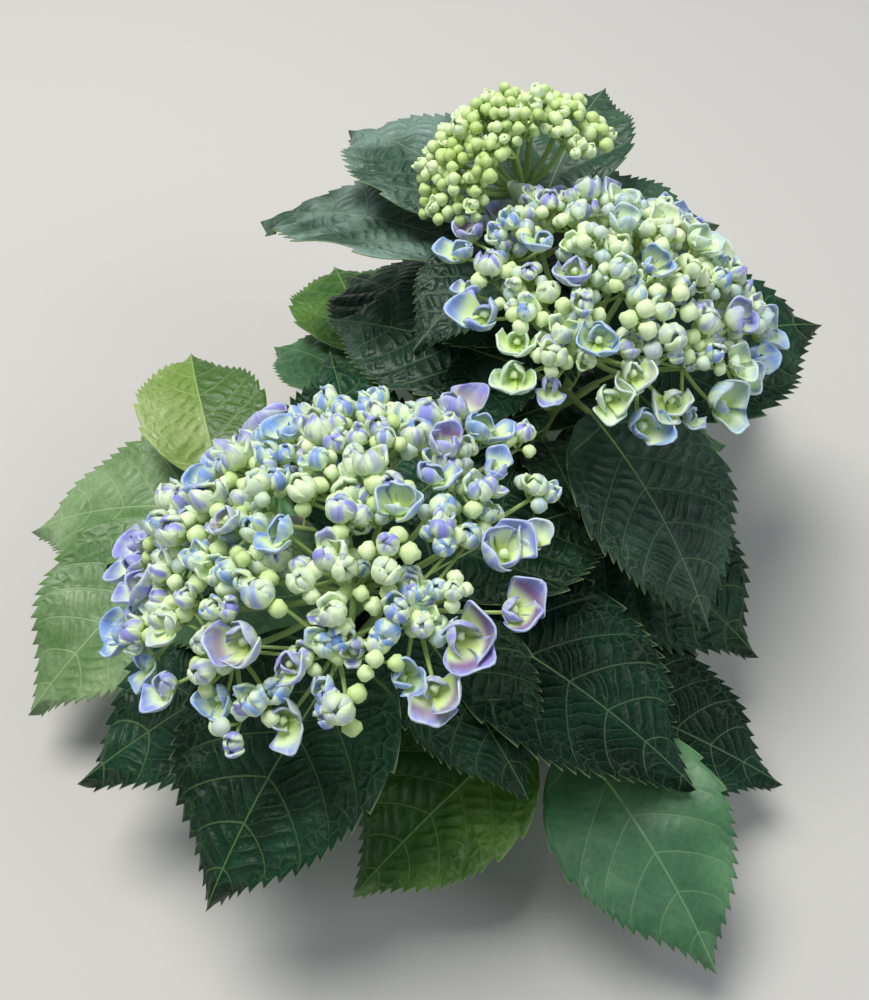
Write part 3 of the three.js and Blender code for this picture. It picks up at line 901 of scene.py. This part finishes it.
def grow_shoot(name):
    """The green upper stem of a cane with its leaf pairs and its young leaves"""
    stem = STEMS[name]
    gap = CLEARANCE / stem_length(name)
    end = share_before(name, PEDUNCLE) - gap if name in HEADS else 1
    shares = np.linspace(stem.leaf_from + gap, end, 61)
    points, headings = stem_line(name, shares)
    grown = (shares - stem.leaf_from) / (1 - stem.leaf_from)
    radii = stem.girth * (0.7 - 0.12 * grown)
    for at, _ in LEAVES[name]:
        radii = radii * (1 + 0.22 * np.exp(-((shares - at) / 0.018) ** 2))
    stalks, blades, young_blades = Growth(), Growth(), Growth()
    add_rod(stalks, points, radii, 12, headings)
    for level, (at, leaves) in enumerate(LEAVES[name]):
        for half, leaf in enumerate(leaves):
            add_leaf(blades, stalks, name, at, leaf, LEAF_SEED + level * 2 + half)
    is_low = name.startswith("low")
    for i, (at, turn, size) in enumerate(YOUNG_LEAVES[name]):
        leaf = (turn, size, *YOUNG_SLOPES, "middle" if is_low else "dark")
        add_leaf(young_blades, stalks, name, at, leaf, LEAF_SEED + 50 + i, YOUNG_SLAB, YOUNG_ROWS)
    node = f"shoot_{name}"
    slot = "bright_leaf" if is_low else "dark_leaf"
    blades.finish(node, "leaves", slot, LEAF_MATERIALS)
    young_blades.finish(node, "young_leaves", slot, LEAF_MATERIALS)
    stalks.finish(node, "stems", slot, [GREEN_STEM], laid_out=False)


# Flower heads

SEPAL_SLAB = slab(7, 8)
BUD_SLAB = slab(5, 6)
ROUND_BUD = ball(12, 7)
BUD_CORE = ball(8, 5)


def bloom_frame(outward, away):
    """Axes of a bloom: x downhill from the middle of its head, z outward"""
    first = unit(away - outward * (away @ outward))
    return np.stack([first, np.cross(outward, first), outward])


def add_sepal(sepals, shape, slots, place, axes, turn, length, width, start, curl, dish, thick, tint, draw):
    """One thick spoon-shaped sepal. It leaves the bloom's middle at an angle start from the way
    outward, curls back over the middle by curl, and is dished across by dish, all in degrees."""
    start, curl, dish = np.radians([start, curl, dish])
    corner = shape.corners
    across = corner[:, 0] * np.sqrt(1 - corner[:, 1] ** 2 / 2)
    along = (1 + corner[:, 1] * np.sqrt(1 - corner[:, 0] ** 2 / 2)) / 2
    tilt = start - curl * along
    bend = length / curl
    out = bend * (np.cos(tilt) - math.cos(start))
    rise = bend * (math.sin(start) - np.sin(tilt))
    rim = smooth_step(np.hypot(across, corner[:, 1]), 0.5, 1)
    wavy = 1 + 0.1 * np.sin(along * 8 + draw * 50 + 2 * (across > 0)) * rim
    half_width = width / 2 * (0.66 + 0.34 * smooth_step(along, 0, 0.5)) * wavy
    aside = half_width * np.sin(across * dish) / math.sin(dish)
    raised = half_width * (1 - np.cos(across * dish)) / math.sin(dish)
    raised = raised + corner[:, 2] * thick * (1 - 0.25 * along)
    raised = raised + 0.06 * length * np.sin(across * 5 + draw * 70) * rim
    ahead, left = out - raised * np.cos(tilt), -aside
    cosine, sine = math.cos(turn), math.sin(turn)
    local = columns(ahead * cosine - left * sine, ahead * sine + left * cosine, rise + raised * np.sin(tilt))
    mark = columns(corner[:, 0], (corner[:, 1] + 1) / 2, draw)
    sepals.add(shape, place + local @ axes, slots, sepal=mark, flush=tint)


def sepal_draw(bloom_draw, i):
    """The draw of a bloom's sepal number i, which stays below 1"""
    return min(0.999, bloom_draw * 0.9 + 0.03 * i)


def add_opening_bud(sepals, place, axes, radius, tint, draw, pick):
    """A bud just opening: four plump and uneven sepals that still close over the middle, apart from
    up to two that stand looser"""
    first_turn = pick(0, math.pi)
    base = place - axes[2] * radius * 0.65
    loose_count = int(pick(0, 2.7))
    for i in range(4):
        length, curl = radius * pick(2.1, 3), pick(165, 205)
        if i < loose_count:
            length, curl = radius * pick(2.1, 2.5), pick(95, 130)
        turn = first_turn + (i / 2 + pick(-0.1, 0.1)) * math.pi
        width = radius * pick(1.4, 1.9)
        add_sepal(sepals, BUD_SLAB, OPENING, base, axes, turn, length, width, pick(104, 92), curl, 74,
                  radius * 0.34, tint, sepal_draw(draw, i))
    local = BUD_CORE.corners * radius * 0.6 + (0, 0, radius * 0.7)
    mark = columns(BUD_CORE.corners[:, 0], 0.7, draw)
    sepals.add(BUD_CORE, base + local @ axes, OPENING, sepal=mark, flush=tint)


def add_bud(buds, place, axes, radius, slot, tint=0.0, draw=0.5):
    """A closed bud, a little flattened, with four uneven lobes"""
    corner = ROUND_BUD.corners
    turn = np.arctan2(corner[:, 1], corner[:, 0])
    level = np.hypot(corner[:, 0], corner[:, 1])
    lobed = 0.05 + 0.09 * ((draw * 7) % 1)
    uneven = 0.08 * np.cos(turn + draw * 40) + 0.05 * np.cos(3 * turn + draw * 90)
    reach = radius * (1 + (lobed * np.cos(4 * turn + math.pi / 3) + uneven) * level ** 2)
    local = corner * reach[:, None] * (1, 1, 0.9)
    # The mark runs from the bud's foot to its top, so the skin goes from green below to cream on top: partly
    # the bud's own colour and partly painted light on its top and painted shade on its lower sides
    mark = columns(corner[:, 0], (corner[:, 2] + 1) / 2, draw)
    buds.add(ROUND_BUD, place + local @ axes, slot, sepal=mark, flush=tint)


def grow_head(name, taken):
    """A head by the source's rule: rays to two rings of forks, then blooms on a domed spiral. An
    open bloom is a cupped floret, and a closed one is a knot of small buds."""
    head = HEADS[name]
    axis, across, deep = head_frame(name)
    fork = np.array(STEMS[name].end, dtype=float)
    draw = seeded_draws(head.seed)
    fine_draw = seeded_draws(head.seed + 1000)
    rays, buds, sepals = Growth(), Growth(), Growth()
    first_tone, last_tone = head.tones
    tone_count = last_tone - first_tone + 1

    def pick(low=0, high=1):
        return low + (high - low) * fine_draw()

    def spot(reach, turn, height):
        turn = math.radians(turn)
        return (fork + across * head.across * reach * math.cos(turn)
                + deep * head.deep * reach * math.sin(turn) + axis * height)

    def dome(reach):
        return head.rim + (head.middle - head.rim) * (1 - reach ** 2)

    def in_notch(reach, turn):
        """Whether a place lies in the notch that parts the head"""
        notch_turn, half_width, first_reach = head.notch
        return reach > first_reach and abs((turn - notch_turn + 180) % 360 - 180) < half_width

    def outward_at(place):
        return unit(unit(place - fork) + axis)

    def nearest_fork(place):
        return min(forks, key=lambda other: np.linalg.norm(other[0] - place))[0]

    def add_ray(start, end, lowered, steps, radii, sides):
        """A ray from a fork to a bloom's foot that sags a little below the straight line"""
        points = arched(start, (start + end) / 2 - lowered, end, steps)
        add_rod(rays, points, np.linspace(*radii, steps + 1), sides, slots=1)

    def tint_of(reach):
        return min(1, head.flush * pick(0.25, 1.15) * (0.7 + 0.4 * reach))

    def add_knot(place, outward, radius, count, reach):
        """Buds on short stalks round one that stands in the middle, some of them opening"""
        axes = bloom_frame(outward, place - fork + across)
        base = place - outward * radius * 1.3
        tone = pick()
        for i in range(count):
            turn = math.radians(360 * i / max(count - 1, 1) + pick(0, 50))
            is_middle = i == count - 1
            is_opening = pick() < head.opening * (1.3 if is_middle else 0.35)
            aside = 0 if is_middle else radius * pick(0.95, 1.25)
            rise = radius * (0.3 if is_middle else pick(-0.15, -0.55))
            bud_place = place + (axes[0] * math.cos(turn) + axes[1] * math.sin(turn)) * aside + outward * rise
            bud_axes = bloom_frame(unit(bud_place - base + outward * radius), across)
            slot = min(last_tone, first_tone + int((tone * 0.7 + pick(0, 0.4)) * tone_count))
            add_rod(rays, [base, bud_place], (0.6, 0.7), 5, slots=1)
            if is_opening:
                bud_radius = radius * head.fine * (pick(0.68, 0.98) + 0.12 * is_middle)
                add_opening_bud(sepals, bud_place, bud_axes, bud_radius, tint_of(reach), pick(), pick)
            else:
                bud_radius = radius * pick(0.52, 0.65)
                add_bud(buds, bud_place, bud_axes, bud_radius, slot, tint_of(reach), pick())

    def add_floret(place, outward, radius, reach):
        """A half-open floret: one to three cupped sepals that lean out, smaller ones that still
        close over the middle, and a bud between them"""
        axes = bloom_frame(outward, place - fork - axis * ((place - fork) @ axis))
        radius = radius * head.fine
        bloom_draw = pick()
        tint = tint_of(reach)
        first_turn = math.radians(pick(-70, 70))
        open_count = 1 + (pick() < 0.6) + (pick() < 0.35)
        base = place - outward * radius * 0.5
        grown = radius * (1.12 if reach > RIM_FROM else 1)
        slots = np.where(SEPAL_SLAB.is_under, OUTSIDE, INSIDE)
        for i in range(4):
            turn = first_turn + (i / 2 + pick(-0.08, 0.08)) * math.pi
            if i < open_count:
                length, start, curl = grown * pick(1.5, 2), pick(106, 86), pick(78, 114) + 24 * i
            else:
                length, start, curl = radius * pick(1, 1.4), pick(96, 82), pick(125, 165)
            width = length * pick(0.78, 1.08)
            add_sepal(sepals, SEPAL_SLAB, slots, base, axes, turn, length, width, start, curl,
                      pick(58, 76), 1.1, tint, sepal_draw(bloom_draw, i))
        add_bud(buds, base + outward * radius * 0.35, axes, radius * 0.2, first_tone + 1)

    shares = np.linspace(share_before(name, PEDUNCLE), 1, 13)
    points, headings = stem_line(name, shares)
    add_rod(rays, points, PEDUNCLE_RADIUS, 12, headings)
    rays.add(ROUND_BUD, fork + ROUND_BUD.corners * FORK_RADIUS * 0.8, 0)

    forks = []
    for ring, (count, reach, deepness) in enumerate(FORK_RINGS):
        for i in range(count):
            turn = 360 * (i + 0.5 * ring) / count + 12 * draw()
            if in_notch(reach, turn):
                continue
            tip = spot(reach, turn, dome(reach) * deepness)
            bend = spot(reach * 0.55, turn, dome(reach) * deepness * 0.4)
            add_rod(rays, arched(fork, bend, tip, 7), np.linspace(1.55, 1.1, 8), 8, slots=0)
            forks.append((tip, reach, turn))

    blooms = []
    for i in range(head.sites):
        reach = math.sqrt((i + 0.5) / head.sites)
        turn = i * GOLDEN_TURN + 10 * (draw() - 0.5)
        place = spot(reach, turn, dome(reach) + BLOOM_UNEVENNESS * (draw() - 0.5))
        open_share = RIM_OPEN_SHARE * (head.open > 0) if reach > RIM_FROM else head.open
        is_open = draw() < open_share
        grown = FLORET_RADIUS * (0.8 + 0.25 * reach) if is_open else BUD_RADIUS
        radius = grown * head.growth * (0.85 + 0.3 * draw())
        if in_notch(reach, turn):
            continue
        if any(np.linalg.norm(place - other) < radius + other_radius for other, other_radius in taken):
            continue
        blooms.append((place, radius))
        outward = outward_at(place)
        end = place - outward * radius * (0.5 if is_open else 1.3)
        add_ray(nearest_fork(place), end, outward * 1.5, 4, (0.95, 0.75), 6)
        if is_open:
            add_floret(place, outward, radius, reach)
        else:
            add_knot(place, outward, radius, 4 + int(pick(0, 2)), reach)

    # Finer knots stand between the blooms, closer on the side away from +X, and small florets near
    # the rim of a head that has open ones
    for i in range(head.sites):
        reach = 0.97 * math.sqrt((i + 1) / head.sites)
        turn = (i + 0.5) * GOLDEN_TURN
        place = spot(reach, turn, dome(reach) * pick(0.86, 0.96))
        crowded = any(np.linalg.norm(place - other) < 0.8 * radius + 4 for other, radius in blooms)
        filled_share = 0.75 - 0.5 * reach * math.cos(math.radians(turn))
        if crowded or in_notch(reach, turn) or pick() > filled_share:
            continue
        outward = outward_at(place)
        add_ray(nearest_fork(place), place - outward * 5, outward, 3, (0.85, 0.7), 5)
        if head.open and reach > 0.78:
            add_floret(place, outward, FLORET_RADIUS * pick(0.6, 0.95), reach)
        else:
            add_knot(place, outward, BUD_RADIUS * head.growth, 3, reach)

    # Three smaller knots stand round each fork
    for tip, reach, turn in forks:
        for i in range(3):
            side_turn = turn + 34 * (i - 1) + pick(-8, 8)
            side_reach = reach + pick(-0.048, 0.112)
            if in_notch(side_reach, side_turn):
                continue
            place = spot(side_reach, side_turn, dome(side_reach) * pick(0.78, 0.9))
            outward = outward_at(place)
            add_ray(tip, place - outward * 4, outward, 3, (0.8, 0.65), 5)
            add_knot(place, outward, BUD_RADIUS * 0.9 * head.growth, 3 + int(pick(0, 3)), reach)

    node = f"head_{name}"
    rays.finish(node, "rays", head.slot, RAY_TONES, laid_out=False)
    buds.finish(node, "buds", head.slot, BUD_TONES)
    sepals.finish(node, "florets", head.slot, BLOOM_SKINS)
    return blooms


def set_stage():
    """Plain pale floor, soft light and the camera at the photograph's angle"""
    bm = bmesh.new()
    bmesh.ops.create_grid(bm, x_segments=1, y_segments=1, size=3)
    floor_material, _, shader = new_material("pale floor", 0.9, 0.1)
    shader["Base Color"].default_value = colour(202, 200, 195)
    floor = new_object("floor", mesh_from("floor", bm, floor_material))

    world = bpy.data.worlds.new("soft sky")
    world.use_nodes = True
    sky = world.node_tree.nodes["Background"].inputs
    sky["Color"].default_value = (0.82, 0.9, 1.0, 1)
    sky["Strength"].default_value = 0.3
    bpy.context.scene.world = world

    def add_softbox(name, place, size, power, tint):
        light = bpy.data.lights.new(name, "AREA")
        light.shape = "DISK"
        light.size = size
        light.energy = power
        light.color = tint
        lamp = new_object(name, light)
        lamp.location = place
        lamp.rotation_euler = (Vector((0, 0, 0.1)) - Vector(place)).to_track_quat("-Z", "Y").to_euler()

    add_softbox("overhead softbox", (-0.5, 0.35, 1.8), 1.1, 34, (1.0, 0.98, 0.95))
    add_softbox("side softbox", (1.3, -0.6, 1.2), 1.0, 7, (0.9, 0.95, 1.0))

    view = bpy.data.cameras.new("camera")
    view.sensor_fit = "VERTICAL"
    view.sensor_height = FILM_HEIGHT
    view.lens = 1.2 * FILM_HEIGHT
    view.clip_start = 0.02
    camera = new_object("camera", view)
    camera.location = CAMERA_PLACE
    camera.rotation_euler = (math.radians(90 - CAMERA_LOOKS_DOWN), 0, 0)
    bpy.context.scene.camera = camera
    bpy.context.scene.view_settings.view_transform = "Standard"


grow_crown()
for name in STEMS:
    grow_cane(name)
    grow_shoot(name)
taken = []
for name in HEADS:
    taken += grow_head(name, taken)
set_stage()
